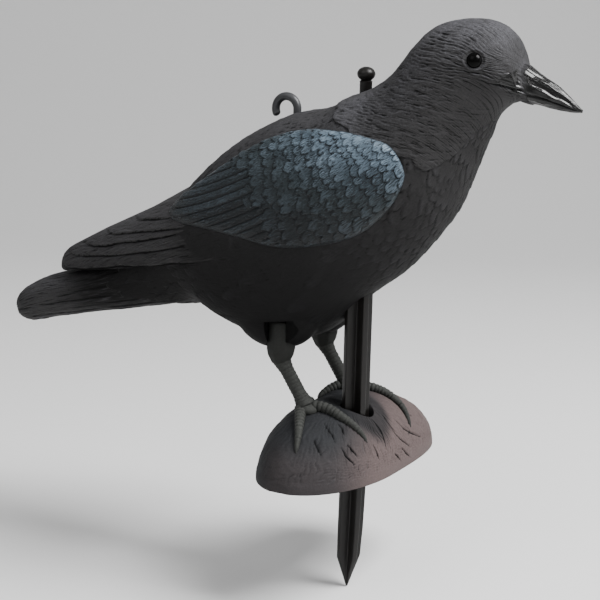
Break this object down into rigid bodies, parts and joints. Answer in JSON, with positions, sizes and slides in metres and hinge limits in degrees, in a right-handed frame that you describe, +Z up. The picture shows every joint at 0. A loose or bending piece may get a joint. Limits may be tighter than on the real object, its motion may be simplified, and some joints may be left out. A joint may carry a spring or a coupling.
{
  "type": "crow decoy",
  "caption": "Standing crow decoy of moulded plastic on a small mound, with a ground stake through its body and a hanging hook on its back.",
  "frame": {"origin": "on the flat underside of the mound, on the bird's mid-plane, under the ankles", "axes": "+X towards the beak, +Y to the bird's left, +Z up"},
  "size_m": [0.393, 0.1601, 0.353],
  "materials": {
    "charcoal_plastic": "matt, slightly weathered, feather relief",
    "mound_grey_plastic": "matt, creased",
    "stake_black_plastic": "satin",
    "hook_grey": "satin",
    "eye_black": "glossy"
  },
  "bodies": {
    "root": {"crow_body": "charcoal_plastic", "legs_and_mound": "mound_grey_plastic", "stake": "stake_black_plastic", "hanging_hook": "hook_grey", "eye_left": "eye_black", "eye_right": "eye_black"}
  },
  "joints": []
}
